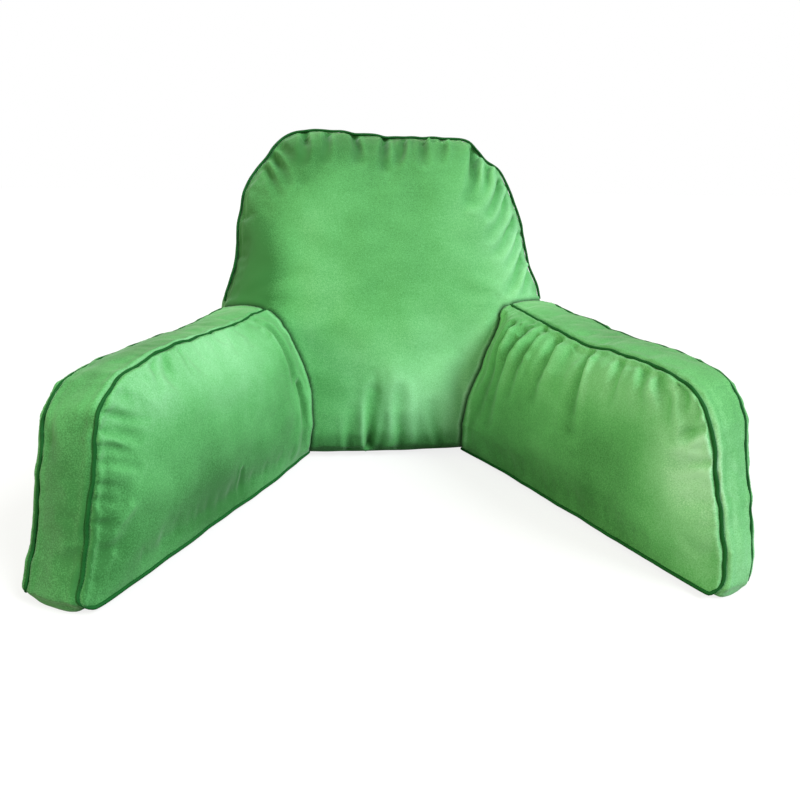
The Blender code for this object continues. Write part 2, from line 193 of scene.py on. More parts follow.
LEFT_ARM_CREASES = (
    # from_along, from_up, to_along, to_up, bow, width, depth
    (0.392, 0.209, 0.372, 0.197, 0.000, 0.0034, -0.0018),
    (0.407, 0.194, 0.358, 0.172, 0.001, 0.0032, -0.0030),
    (0.415, 0.178, 0.372, 0.156, 0.000, 0.0034, -0.0032),
    (0.420, 0.163, 0.388, 0.149, 0.001, 0.0030, -0.0020),
    (0.424, 0.147, 0.380, 0.126, 0.000, 0.0032, -0.0028),
    (0.429, 0.126, 0.400, 0.112, 0.000, 0.0030, -0.0020),
    (0.433, 0.112, 0.404, 0.100, 0.001, 0.0030, -0.0016),
    (0.438, 0.090, 0.414, 0.076, 0.000, 0.0034, -0.0016),
    (0.304, 0.224, 0.330, 0.198, 0.001, 0.0040, -0.0045),
    (0.284, 0.225, 0.300, 0.196, 0.001, 0.0038, -0.0042),
    (0.251, 0.225, 0.262, 0.203, 0.001, 0.0038, -0.0034),
    (0.115, 0.221, 0.158, 0.200, 0.001, 0.0050, -0.0025),
    (0.196, 0.054, 0.195, 0.012, 0.001, 0.0036, -0.0016),
    (0.396, 0.090, 0.446, 0.050, 0.002, 0.0060, 0.0030),
    (0.424, 0.050, 0.457, 0.020, 0.002, 0.0048, 0.0028),
    (0.044, 0.215, 0.026, 0.080, 0.004, 0.0075, -0.0050),
    (0.025, 0.120, 0.038, 0.014, -0.003, 0.0075, -0.0045),
)
RIGHT_ARM_CREASES = (
    # from_along, from_up, to_along, to_up, bow, width, depth
    (0.086, 0.224, 0.058, 0.080, -0.004, 0.0085, -0.0090),
    (0.108, 0.224, 0.104, 0.130, 0.003, 0.0060, -0.0075),
    (0.150, 0.224, 0.158, 0.140, 0.003, 0.0070, -0.0085),
    (0.184, 0.220, 0.196, 0.182, 0.001, 0.0055, -0.0050),
    (0.226, 0.220, 0.240, 0.120, 0.004, 0.0065, -0.0095),
    (0.286, 0.220, 0.300, 0.172, 0.002, 0.0050, -0.0060),
    (0.326, 0.220, 0.350, 0.176, 0.002, 0.0050, -0.0070),
    (0.352, 0.218, 0.390, 0.168, 0.002, 0.0046, -0.0070),
    (0.384, 0.214, 0.412, 0.168, 0.001, 0.0046, -0.0075),
    (0.414, 0.203, 0.416, 0.156, 0.001, 0.0046, -0.0065),
    (0.433, 0.178, 0.396, 0.156, 0.001, 0.0046, -0.0060),
    (0.440, 0.140, 0.405, 0.128, 0.001, 0.0048, -0.0045),
    (0.048, 0.210, 0.020, 0.050, 0.008, 0.0075, -0.0080),
)
LEFT_FRONT_CREASES = (
    # from_out, from_up, to_out, to_up, bow, width, depth
    (0.006, 0.186, 0.026, 0.170, 0.002, 0.0080, -0.0030),
    (0.058, 0.165, 0.040, 0.140, 0.002, 0.0090, -0.0030),
    (0.004, 0.060, 0.014, 0.045, 0.001, 0.0070, -0.0030),
)
# Where the arms' inner panels are sewn to the back: how far the seam lies outwards of the plain
# solid at each height
SEWN_IN_LEFT = (
    # up, outwards
    (0.000, 0.009), (0.020, 0.004), (0.055, -0.004), (0.100, -0.004), (0.140, 0.003),
    (0.170, 0.008), (0.200, 0.012), (0.223, 0.006),
)
SEWN_IN_RIGHT = (
    (0.000, -0.002), (0.020, -0.008), (0.050, -0.012), (0.090, 0.002), (0.130, 0.019),
    (0.165, 0.025), (0.195, 0.027), (0.210, 0.024), (0.223, 0.010),
)
SEWN_REACH = 0.050
SEWN_GAP = 0.0004                # the sewn faces of two cushions stay this much apart
SEWN_FADE = (0.006, 0.030)       # and follow each other up to here
SEWN_FACING = (0.5, 0.9)
SEWN_WIDTH = (0.2, 0.8)          # shares of the arm's width over which the drawing in fades
SEWN_TOP_DROP = 0.0055           # the arms' tops are drawn down to their seams with the back
SEWN_TOP = (0.150, 0.215)
NO_CREASES = ()
CREASE_FACING = (0.30, 0.70)
CREASE_SIDE = (-0.60, -0.15)     # a crease keeps to its own side of a seam
CREASE_SIDE_REACH = 0.030
CREASE_OFF_SEAM = (0.0010, 0.0065)
RIDGE_OFF_SEAM = (0.0090, 0.0260)
CREASE_WIDENS = 0.6
CREASE_RIDGE = 0.60              # the cloth beside a trough rises by this share of its depth
CREASE_FAR_RIDGE = 0.25          # and by this much on its other side
CREASE_RIDGE_AT = 1.8            # so many times its width away
CREASE_RIDGE_WIDTH = 0.8
CREASE_TAIL = 0.25               # share of its depth that a crease keeps at its far end
CREASE_PAINTED_LIGHT = 30.0               # painted shade in a trough and painted highlight on a ridge, per metre
# the brightest painted highlight that a crease gives
CREASE_HIGHLIGHT_MOST = 0.16

# Unevenness of the filled panels, and puckers that run from the seams into them
NOISE_SHIFT = (7.31, 3.17, 5.53)
LUMP_SIZE = 0.110
LUMP_HEIGHT = 0.0035
RIPPLE_SIZE = 0.034
RIPPLE_HEIGHT = 0.0010
LUMP_OFF_SEAM = (0.004, 0.030)
LUMP_OFF_FLOOR = (0.002, 0.030)
LUMP_OFF_CONTACT = (0.002, 0.020)
PUCKER_SPACING = 0.021
PUCKER_LENGTH = 0.09
PUCKER_REACH = 0.034
PUCKER_DEPTH = 0.0040
PUCKER_OFF_SEAM = (0.001, 0.009)
PUCKER_OFF_FLOOR = (0.020, 0.080)
PUCKER_GROUP = 0.13              # puckers come in groups of about this length
PUCKER_LAYER = 4.0
PUCKER_EVEN = 0.5
PUCKER_VARIED = 0.8
SEAM_WOBBLE = (0.042, 0.0024)    # size and height of the wander that cloth and seams share
SEAM_RUFFLE = (0.015, 0.0015)    # and of the finer one that fades away from the seams
RUFFLE_REACH = 0.011
WANDER_SEED = 1795825952         # without one, the wander follows the clock
WOBBLE_OFF_FLOOR = (0.004, 0.020)
SEAM_VALLEY_WIDTH = 0.0030
ARM_SEAM_VALLEY = 0.0020
BACK_SEAM_VALLEY = -0.0030       # the back's own piping stands up instead of lying in a valley
SEAM_LIP = (0.0068, 0.0034)      # the cloth swells beside a seam: how far off, how wide
SEAM_LIP_HEIGHT = 0.0012
CONTACT_LIP = (0.0080, 0.0036)
CONTACT_LIP_HEIGHT = 0.0018
LIP_OFF_FLOOR = (0.002, 0.015)
FLARE_REACH = 0.0060             # the arms' inner lower edges are drawn out along the floor
FLARE_HEIGHT = 0.034
FLARE_WIDTH = 0.5

# Painted shade in the seams, and painted highlights beside the sewn ones
PIPED_SHADE_REACH = 0.0026
PIPED_SHADE = 0.55
SEWN_SHADE_REACH = 0.0042
SEWN_SHADE = 0.95
# painted highlight on the arms beside their sewn seam
ARM_EDGE = (0.0105, 0.0028)      # how far off, how wide
ARM_EDGE_HIGHLIGHT = 0.16
# painted highlight on the back beside its right sewn seam
BACK_EDGE = (0.0062, 0.0018)
BACK_EDGE_HIGHLIGHT = 0.26
BACK_GLOW_REACH = 0.040          # painted light on the back towards its right sewn seam, lifting the right arm's cast shadow
BACK_GLOW = 0.15
BACK_GLOW_TOP = (0.180, 0.225)
BACK_GLOW_ACROSS = (0.0, 0.1)
EDGE_FACING = (0.0, 0.5)
PAINTED_LIGHT_FACING = (-0.1, 0.6)

# Painted light and shade: each row lightens or darkens a patch of a face where light or shade falls
BACK_PAINTED_LIGHT = (
    # across, height, reach_across, reach_height, tone
    (-0.215, 0.255, 0.055, 0.120, -0.54),
    (-0.140, 0.440, 0.070, 0.050, -0.18),
    (0.210, 0.290, 0.060, 0.110, 0.26),
    (0.010, 0.190, 0.110, 0.070, 0.10),
    (0.060, 0.110, 0.120, 0.060, 0.20),
    (0.060, 0.430, 0.140, 0.060, -0.10),
    (-0.010, 0.330, 0.080, 0.060, -0.08),
    (0.000, 0.000, 0.200, 0.028, -0.36),
    (0.000, 0.472, 0.170, 0.030, -0.22),
)
NO_PAINTED_LIGHT = ()
LEFT_ARM_PAINTED_LIGHT = (
    # along, up, reach_along, reach_up, tone
    (0.230, 0.212, 0.160, 0.045, 0.44),
    (0.280, 0.040, 0.150, 0.055, -0.30),
    (0.100, 0.090, 0.070, 0.070, -0.16),
    (0.440, 0.060, 0.050, 0.080, -0.08),
)
LEFT_FRONT_PAINTED_LIGHT = (
    # out, up, reach_out, reach_up, tone
    (0.030, 0.100, 0.080, 0.140, -0.28),
)
LEFT_TOP_PAINTED_LIGHT = (
    # along, out, reach_along, reach_out, tone
    (0.240, 0.060, 0.150, 0.100, -0.22),
    (0.050, 0.060, 0.060, 0.100, -0.04),
)
RIGHT_ARM_PAINTED_LIGHT = (
    # along, up, reach_along, reach_up, tone
    (0.430, 0.120, 0.060, 0.070, 0.48),
    (0.270, 0.195, 0.120, 0.040, 0.30),
    (0.300, 0.100, 0.120, 0.050, -0.10),
    (0.250, 0.020, 0.150, 0.050, -0.28),
    (0.080, 0.060, 0.070, 0.090, -0.16),
)
RIGHT_FRONT_PAINTED_LIGHT = (
    # out, up, reach_out, reach_up, tone
    (0.020, 0.120, 0.060, 0.110, 0.09),
    (0.020, 0.030, 0.060, 0.045, 0.12),
)
RIGHT_TOP_PAINTED_LIGHT = (
    # along, out, reach_along, reach_out, tone
    (0.200, 0.060, 0.160, 0.100, -0.18),
)

# Velvet: shades from painted shade through the velvet's own green to painted highlight, and where each
# one lies; the nap's random grain also moves along them
# the piping's own deep green, also the colour of the painted shade in the seams
PIPING_DEEP_AND_SEAM_SHADE = (0.001, 0.042, 0.006, 1.0)
VELVET_SHADES = (
    (0.20, (0.034, 0.185, 0.040, 1.0)), (0.50, (0.120, 0.450, 0.140, 1.0)),
    (0.83, (0.288, 0.690, 0.335, 1.0)), (1.00, (0.460, 0.860, 0.540, 1.0)),
)
PIPING_SHADES = ((0.20, PIPING_DEEP_AND_SEAM_SHADE), (0.50, (0.004, 0.105, 0.015, 1.0)))
VELVET_SHEEN = 0.35
PIPING_SHEEN = 0.0
VELVET = {
    "Roughness": 0.75, "Specular IOR Level": 0.25, "Sheen Roughness": 0.45,
    "Sheen Tint": (0.75, 1.0, 0.78, 1.0),
}
BACK_PATCHES = 6.0               # scale of the soft patches in the nap
ARM_PATCHES = 8.0
PIPING_PATCHES = 60.0
PATCH_NOISE = {"Detail": 4.0, "Roughness": 0.55}
PILE_SCALE = 700.0
PILE_NOISE = {"Detail": 2.0, "Roughness": 0.6}
PILE_RANGE = {"From Min": 0.30, "From Max": 0.70, "To Min": -0.5, "To Max": 0.5}
PILE_TONE = 0.22
PILE_BUMP = {"Strength": 0.50, "Distance": 0.0004}
STREAK_STRETCH = {"Scale": (9.0, 9.0, 60.0)}
STREAK_NOISE = {"Scale": 1.0, "Detail": 5.0, "Roughness": 0.6}
STREAK_SHARE = 0.12
NAP_CONTRAST = 0.60
NAP_BASE = 0.20

# Floor
WHITE = (1.0, 1.0, 1.0, 1.0)
FLOOR_SIZE = 60.0
FLOOR_DROP = 0.0005
FLOOR_BOUNCE = (0.25, 0.26, 0.25, 1.0)
FLOOR_SEEN = {
    "Base Color": (0.22, 0.22, 0.22, 1.0), "Roughness": 0.9, "Specular IOR Level": 0.0,
    "Emission Color": WHITE, "Emission Strength": 0.82,
}

# Light: sun direction is where the light comes from, turned from straight ahead of the cushion
KEY_TURN = math.radians(52.0)
KEY_RISE = math.radians(41.0)
KEY_POWER = 2.96
KEY_SPREAD = math.radians(24.0)
SIDE_TURN = math.radians(-66.0)
SIDE_RISE = math.radians(16.0)
SIDE_POWER = 1.44
SIDE_SPREAD = math.radians(30.0)
KEY_COLOUR = (0.92, 1.0, 1.01)
SIDE_COLOUR = (1.0, 0.93, 0.60)
SKY_COLOUR = (1.0, 0.97, 0.84, 1.0)
SKY_TOP = 0.62
SKY_SIDE = 0.16
LAMP_DISTANCE = 3.0


# Selection and modelling helpers

def select_only(piece):
    bpy.ops.object.select_all(action="DESELECT")
    piece.select_set(True)
    bpy.context.view_layer.objects.active = piece


def get_points(piece):
    points = np.zeros(len(piece.data.vertices) * 3, np.float32)
    piece.data.vertices.foreach_get("co", points)
    return points.reshape(-1, 3).astype(float)


def set_points(piece, points):
    piece.data.vertices.foreach_set("co", points.astype(np.float32).ravel())
    piece.data.update()


def get_normals(piece):
    normals = np.zeros(len(piece.data.vertices) * 3, np.float32)
    piece.data.vertices.foreach_get("normal", normals)
    return normals.reshape(-1, 3).astype(float)


def smooth_step(value, low, high):
    share = np.clip((value - low) / (high - low), 0.0, 1.0)
    return share * share * (3.0 - 2.0 * share)


def bell(value, middle, width):
    return np.exp(-((value - middle) / width) ** 2)


def surface_of(mesh):
    """Search tree over the faces of a mesh."""
    shape = bmesh.new()
    shape.from_mesh(mesh)
    tree = BVHTree.FromBMesh(shape)
    shape.free()
    return tree


def noise_at(points, size, seed):
    """Smooth noise from -1 to 1 at each point, with lumps of the given size."""
    shift = Vector([seed * step for step in NOISE_SHIFT])
    return np.array([noise.noise(Vector(point) / size + shift) for point in points])


def distance_to(meshes, points):
    """Distance from each point to the nearest of these meshes."""
    nearest = np.full(len(points), FAR)
    for mesh in meshes:
        surface = surface_of(mesh)
        nearest = np.minimum(nearest, [surface.find_nearest(Vector(point))[3] for point in points])
    return nearest


def on_face(points, face):
    """Where the points lie along the two axes of a face, and the face's normal."""
    origin, first_axis, second_axis, face_normal = (np.array(vector) for vector in face)
    return (points - origin) @ first_axis, (points - origin) @ second_axis, face_normal


def copy_of_solid(node_name, piece_name):
    """A merged copy of a CAD solid, as an object of its own."""
    piece = bpy.data.objects.new(piece_name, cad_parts[node_name].data.copy())
    bpy.context.scene.collection.objects.link(piece)
    piece.data.materials.clear()
    select_only(piece)
    bpy.ops.object.mode_set(mode="EDIT")
    bpy.ops.mesh.select_all(action="SELECT")
    bpy.ops.mesh.remove_doubles(threshold=MERGE_DISTANCE)
    bpy.ops.object.mode_set(mode="OBJECT")
    return piece


# Piping

def cord_rings(node_name):
    """Middles of the rings of vertices that make up a cord's CAD solid."""
    shape = bmesh.new()
    shape.from_mesh(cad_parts[node_name].data)
    bmesh.ops.remove_doubles(shape, verts=shape.verts, dist=MERGE_DISTANCE)
    shape.verts.ensure_lookup_table()
    taken = [False] * len(shape.verts)
    middles = []
    for start in shape.verts:
        if taken[start.index]:
            continue
        taken[start.index] = True
        ring = [start]
        for vertex in ring:
            for edge in vertex.link_edges:
                other = edge.other_vert(vertex)
                if edge.calc_length() < RING_EDGE_LIMIT and not taken[other.index]:
                    taken[other.index] = True
                    ring.append(other)
        if len(ring) >= WHOLE_RING:
            middles.append(sum((vertex.co for vertex in ring), Vector()) / len(ring))
    shape.free()
    return middles


def cord_line(node_name):
    """Middle line of a cord, in order round its cushion, starting after its gap if it is open."""
    points = np.array([tuple(middle) for middle in cord_rings(node_name)])
    centre = (points.min(0) + points.max(0)) / 2.0
    axes = np.linalg.svd(points - centre, full_matrices=False)[2]
    turn = np.arctan2((points - centre) @ axes[1], (points - centre) @ axes[0])
    ordered = points[np.argsort(turn)]
    opening = CORDS[node_name][0]
    if opening is not None:
        halfway = (ordered + np.roll(ordered, -1, axis=0)) / 2.0
        gap = int(np.argmax(halfway @ np.array(opening)))
        ordered = np.roll(ordered, -gap - 1, axis=0)
    closed = opening is None
    return even_line([Vector(point) for point in ordered], closed), closed


def even_line(line, closed):
    """The line without crowded points, and with long straight spans divided."""
    kept = [line[0]]
    for point in line[1:]:
        if (point - kept[-1]).length > CORD_CROWDED:
            kept.append(point)
    route = kept + [kept[0]] if closed else kept
    even = []
    for start, end in zip(route, route[1:]):
        spans = max(int(round((end - start).length / CORD_SPAN)), 1)
        even.extend(start.lerp(end, span / spans) for span in range(spans))
    return even if closed else even + [route[-1]]


def tuck_ends(line):
    """Run an open cord's ends on, straight, into the seam that takes them."""
    first = line[0] + (line[0] - line[TUCK_POINTS]).normalized() * CORD_TUCK
    last = line[-1] + (line[-1] - line[-1 - TUCK_POINTS]).normalized() * CORD_TUCK
    return [first] + line + [last]


def smooth_line(line, closed, step):
    """The line through the same points, rounded off and divided into equal steps."""
    count = len(line)
    finer = []
    spans = count if closed else count - 1
    for index in range(spans):
        start, end = line[index], line[(index + 1) % count]
        before = line[index - 1] if closed or index > 0 else start * 2.0 - end
        after = line[(index + 2) % count] if closed or index + 2 < count else end * 2.0 - start
        pieces = max(int((end - start).length / step), 1)
        for piece in range(pieces):
            t = piece / pieces
            finer.append(0.5 * (2.0 * start + (end - before) * t
                                + (2.0 * before - 5.0 * start + 4.0 * end - after) * t ** 2
                                + (3.0 * start - 3.0 * end + after - before) * t ** 3))
    if not closed:
        finer.append(line[-1])
    return finer


def wobble(points, seam_distance):
    """The small wander that all the seams and the cloth beside them share."""
    moved = points.copy()
    near = bell(seam_distance, 0.0, RUFFLE_REACH)
    for (size, reach), share in ((SEAM_WOBBLE, np.ones(len(points))), (SEAM_RUFFLE, near)):
        moves = np.array([tuple(noise.noise_vector(Vector(point) / size)) for point in points])
        moved += moves * (reach * share)[:, None]
    floor_share = smooth_step(points[:, 2], *WOBBLE_OFF_FLOOR)
    moved[:, 2] = points[:, 2] + (moved[:, 2] - points[:, 2]) * floor_share
    return moved


def flare_out(points, inner_face):
    """Draw an arm's inner side out a little where it meets the floor."""
    origin, outwards = np.array(inner_face[0]), -np.array(inner_face[3])
    across = (points - origin) @ outwards
    inner = 1.0 - smooth_step(across, 0.0, ARM_WIDTH * FLARE_WIDTH)
    low = 1.0 - smooth_step(points[:, 2], 0.0, FLARE_HEIGHT)
    return points - np.outer(inner * low * FLARE_REACH, outwards)


def roll_forwards(places):
    """Bring the back's front seam a little way on to its panel."""
    forwards = BACK_FACES["front"][3]
    rolled = []
    for place in places:
        point = Vector(place)
        inwards = BACK_MIDDLE - point
        inwards = (inwards - forwards * inwards.dot(forwards)).normalized()
        dip = sum(most * math.exp(-((point - Vector((across, deep, up))).length / reach) ** 2)
                  for across, deep, up, reach, most in SEAM_DIPS)
        rolled.append(tuple(point + inwards * (SEAM_ROLL + dip) + forwards * SEAM_ROLL))
    return np.array(rolled)


def lay_cord(node_name, line, closed, cushion, inner_face, sewn_line):
    """The cord's path along its seam on the filled cushion, with open ends sewn in."""
    _, stand, side = CORDS[node_name]
    surface = surface_of(cushion.data)
    places = np.array([tuple(point) for point in smooth_line(line, closed, CORD_STEP)])
    if node_name == "back_piping_front":
        line = [line[0] + (line[0] - line[1]).normalized() * BACK_CORD_TUCK] + line
        line.append(line[-1] + (line[-1] - line[-2]).normalized() * BACK_CORD_TUCK)
        places = roll_forwards(tuple(point) for point in smooth_line(line, closed, CORD_STEP))
    if inner_face is not None:
        contact_distance = distance_to([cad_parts["back_cushion"].data], places)
        places = draw_to_seam(places, inner_face, sewn_line, contact_distance)
        places = flare_out(places, inner_face)
    path = []
    for point in wobble(places, np.zeros(len(places))):
        place, normal, _, _ = surface.find_nearest(Vector(point))
        proud = stand
        if place.z < CORD_FLOOR_HEIGHT and inner_face is not None:
            proud = CORD_FLOOR_STAND
            normal = -inner_face[3] * side
            beside = Vector((point[0], point[1], CORD_RADIUS)) + normal * CORD_FLOOR_LOOK
            place = surface.find_nearest(beside)[0]
        path.append(tuple(place + normal * proud))
    path = np.array(path)
    for _ in range(CORD_SMOOTHING):
        around = (np.roll(path, 1, axis=0) + np.roll(path, -1, axis=0)) / 2.0
        if not closed:
            around[0] = path[0]
            around[-1] = path[-1]
        path = (path + around) / 2.0
    path[:, 2] = np.maximum(path[:, 2], CORD_RADIUS + CORD_FLOOR_GAP)
    route = [Vector(point) for point in path]
    return route if closed else tuck_ends(route)


def make_cord(piece_name, path, closed):
    """Round piping along a path, as a mesh."""
    curve = bpy.data.curves.new(piece_name, "CURVE")
    curve.dimensions = "3D"
    curve.bevel_depth = CORD_RADIUS
    curve.bevel_resolution = CORD_BEVEL
    curve.use_fill_caps = not closed
    spline = curve.splines.new("POLY")
    spline.points.add(len(path) - 1)
    for slot, point in zip(spline.points, path):
        slot.co = (point[0], point[1], point[2], 1.0)
    spline.use_cyclic_u = closed
    piece = bpy.data.objects.new(piece_name, curve)
    bpy.context.scene.collection.objects.link(piece)
    select_only(piece)
    bpy.ops.object.convert(target="MESH")
    bpy.ops.object.shade_smooth()
    return piece


# Filled cushions

class SeamMap:
    """Nearest place on a cushion's piped seams, and how far along: no two seams share a place."""

    def __init__(self, lines):
        samples = []
        for line, closed in lines:
            travelled = float(len(samples))
            previous = None
            for point in smooth_line(line, closed, SEAM_STEP):
                if previous is not None:
                    travelled += (point - previous).length
                samples.append((point, travelled))
                previous = point
        self.tree = KDTree(len(samples))
        for index, (point, _) in enumerate(samples):
            self.tree.insert(point, index)
        self.tree.balance()
        self.travelled = np.array([sample[1] for sample in samples])

    def towards(self, points, direction):
        """How squarely each point lies on one side of its nearest seam, from -1 to 1."""
        steps = np.array([tuple(Vector(point) - self.tree.find(Vector(point))[0]) for point in points])
        return (steps @ direction) / np.maximum(np.linalg.norm(steps, axis=1), TINY)

    def nearest(self, points):
        found = [self.tree.find(Vector(point)) for point in points]
        distance = np.array([hit[2] for hit in found])
        return distance, self.travelled[[hit[1] for hit in found]]


def keep_to_solid(points, node_name, contact_distance):
    """Bring the cloth back to its own solid where another cushion touches it."""
    surface = surface_of(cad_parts[node_name].data)
    snug = 1.0 - smooth_step(contact_distance, *SNUG)
    kept = points.copy()
    for index in np.nonzero(snug > 0.0)[0]:
        place = np.array(tuple(surface.find_nearest(Vector(points[index]))[0]))
        kept[index] += (place - points[index]) * snug[index]
    return kept


def draw_to_seam(points, inner_face, sewn_line, contact_distance):
    """Draw an arm's inner side in, or let it out, towards the seam that joins it to the back."""
    origin, outwards = np.array(inner_face[0]), -np.array(inner_face[3])
    across = (points - origin) @ outwards
    heights, shifts = np.array(sewn_line).T
    reach = bell(contact_distance, 0.0, SEWN_REACH)
    share = 1.0 - smooth_step(across / ARM_WIDTH, *SEWN_WIDTH)
    drawn = points + np.outer(np.interp(points[:, 2], heights, shifts) * reach * share, outwards)
    drawn[:, 2] -= SEWN_TOP_DROP * reach * smooth_step(points[:, 2], *SEWN_TOP)
    return drawn


def rest_against(points, neighbour, contact_distance):
    """Lay the sewn face on the neighbour's filled surface, and keep the rest of the cloth out of it."""
    surface = surface_of(neighbour.data)
    forwards = np.array(BACK_FACES["front"][3])
    near = 1.0 - smooth_step(contact_distance, *SEWN_FADE)
    rested = points.copy()
    for index in np.nonzero(contact_distance < SEWN_FADE[1])[0]:
        place, normal, _, _ = surface.find_nearest(Vector(points[index]))
        height = (Vector(points[index]) - place).dot(normal)
        facing = float(smooth_step(np.array(tuple(normal)) @ forwards, *SEWN_FACING))
        lift = max((contact_distance[index] - height) * near[index], SEWN_GAP - height)
        rested[index] = points[index] + forwards * lift * facing
    return rested


def refine_near_seams(piece, seam_map):
    """Divide the faces beside the seams once more."""
    near = seam_map.nearest(get_points(piece))[0] < REFINE_REACH
    chosen = [all(near[index] for index in face.vertices) for face in piece.data.polygons]
    select_only(piece)
    bpy.ops.object.mode_set(mode="EDIT")
    bpy.ops.mesh.select_mode(type="FACE")
    bpy.ops.mesh.select_all(action="DESELECT")
    bpy.ops.object.mode_set(mode="OBJECT")
    piece.data.polygons.foreach_set("select", chosen)
    bpy.ops.object.mode_set(mode="EDIT")
    bpy.ops.mesh.subdivide(number_cuts=1)
    bpy.ops.object.mode_set(mode="OBJECT")


def pin_strength(points, seam_distance, contact_distance):
    """How firmly each point is held: at the seams, on the floor and where cushions touch."""
    seam = 1.0 - smooth_step(seam_distance, *PIN_SEAM)
    floor = 1.0 - smooth_step(points[:, 2], *PIN_FLOOR)
    contact = 1.0 - smooth_step(contact_distance, *PIN_CONTACT)
    return np.maximum(np.maximum(seam, floor), contact)


def weight_group(piece, name, weights):
    group = piece.vertex_groups.new(name=name)
    levels = np.round(weights * PIN_LEVELS).astype(int)
    for level in range(1, PIN_LEVELS + 1):
        indices = np.nonzero(levels == level)[0]
        if len(indices):
            group.add([int(index) for index in indices], level / PIN_LEVELS, "REPLACE")


def fill_with_pressure(piece, pins, ease):
    """Blow the cloth out between its seams, and keep the result in the mesh."""
    start = get_points(piece)
    weight_group(piece, "held", pins)
    weight_group(piece, "taut", 1.0 - ease)
    cloth = piece.modifiers.new("filling", "CLOTH")
    settings = cloth.settings
    for name, value in CLOTH.items():
        setattr(settings, name, value)
    settings.vertex_group_mass = "held"
    settings.use_pressure = True
    settings.uniform_pressure_force = FILL_PRESSURE
    settings.vertex_group_shrink = "taut"
    settings.shrink_min = SEAM_EASE
    settings.shrink_max = PANEL_EASE
    settings.effector_weights.gravity = 0.0
    cloth.point_cache.frame_start = 1
    cloth.point_cache.frame_end = FILL_FRAMES
    scene = bpy.context.scene
    for step in range(1, FILL_FRAMES + 1):
        scene.frame_set(step)
    select_only(piece)
    bpy.ops.object.modifier_apply(modifier=cloth.name)
    scene.frame_set(1)
    moved = get_points(piece) - start
    length = np.linalg.norm(moved, axis=1)
    share = np.minimum(1.0, FILL_CAP / np.maximum(length, TINY))
    set_points(piece, start + moved * share[:, None])


def add_creases(points, normals, seam_map, seam_distance, face, rows):
    """Troughs and ridges along the rows of a table, on one face, with painted shade in the troughs and
    painted highlights on the ridges.
    """
    first, second, face_normal = on_face(points, face)
    facing = smooth_step(normals @ face_normal, *CREASE_FACING)
    own_side = smooth_step(seam_map.towards(points, face_normal), *CREASE_SIDE)
    facing *= np.where(seam_distance < CREASE_SIDE_REACH, own_side, 1.0)
    off_seam = smooth_step(seam_distance, *CREASE_OFF_SEAM)
    clear_of_seam = smooth_step(seam_distance, *RIDGE_OFF_SEAM)
    rise = np.zeros(len(points))
    tone = np.zeros(len(points))
    for from_first, from_second, to_first, to_second, bow, width, depth in rows:
        run = np.array((to_first - from_first, to_second - from_second))
        length = np.linalg.norm(run)
        run /= length
        along = ((first - from_first) * run[0] + (second - from_second) * run[1]) / length
        aside = (second - from_second) * run[0] - (first - from_first) * run[1]
        inside = np.clip(along, 0.0, 1.0)
        aside = aside - bow * 4.0 * inside * (1.0 - inside)
        beyond = (along - inside) * length
        away = np.hypot(aside, beyond) / (width * (1.0 + CREASE_WIDENS * inside))
        valley = bell(away, 0.0, 1.0)
        side = np.where(aside > 0.0, CREASE_RIDGE, CREASE_FAR_RIDGE)
        shoulder = side * bell(away, CREASE_RIDGE_AT, CREASE_RIDGE_WIDTH)
        profile = valley * clear_of_seam
        if depth < 0.0:
            profile = valley * off_seam - shoulder * clear_of_seam
        strength = depth * (1.0 - (1.0 - CREASE_TAIL) * inside)
        rise += strength * profile
        # painted shade in the trough, and painted highlight on its shoulders and along a ridge
        shade = strength * (valley - shoulder if depth < 0.0 else valley) * CREASE_PAINTED_LIGHT
        tone += np.minimum(shade, CREASE_HIGHLIGHT_MOST)
    return points + normals * (rise * facing)[:, None], tone * facing


def store_values(piece, name, values):
    attribute = piece.data.attributes.get(name) or piece.data.attributes.new(name, "FLOAT", "POINT")
    attribute.data.foreach_set("value", values.astype(np.float32))


def stored_values(piece, name):
    values = np.zeros(len(piece.data.vertices), np.float32)
    piece.data.attributes[name].data.foreach_get("value", values)
    return values.astype(float)


def paint_light_and_shade(piece, faces, others):
    """Store the painted light and shade at each point, and the painted shade along sewn seams."""
    points = get_points(piece)
    normals = get_normals(piece)
    tone = stored_values(piece, "painted_light")
    # painted light and shade from the tables, on the points that face each table's face
    for face, _, rows in faces:
        first, second, face_normal = on_face(points, face)
        facing = smooth_step(normals @ face_normal, *PAINTED_LIGHT_FACING)
        for at_first, at_second, reach_first, reach_second, strength in rows:
            away = ((first - at_first) / reach_first) ** 2 + ((second - at_second) / reach_second) ** 2
            tone += strength * np.exp(-away) * facing
    gap = distance_to([other.data for other in others], points)
    # painted shade along the seams where the pieces are sewn together
    sewn = SEWN_SHADE * bell(gap, 0.0, SEWN_SHADE_REACH)
    store_values(piece, "seam_shade", np.maximum(stored_values(piece, "seam_shade"), sewn))
    # painted highlight beside the sewn seam; on the back also painted light over the right arm's shadow
    edge = ARM_EDGE_HIGHLIGHT * bell(gap, *ARM_EDGE)
    if len(others) > 1:
        edge = BACK_EDGE_HIGHLIGHT * bell(gap, *BACK_EDGE) + BACK_GLOW * bell(gap, 0.0, BACK_GLOW_REACH)
        edge *= 1.0 - smooth_step(points[:, 2], *BACK_GLOW_TOP)
        edge *= smooth_step(points[:, 0], *BACK_GLOW_ACROSS)
    tone += edge * smooth_step(normals @ np.array(faces[0][0][3]), *EDGE_FACING)
    store_values(piece, "painted_light", tone)


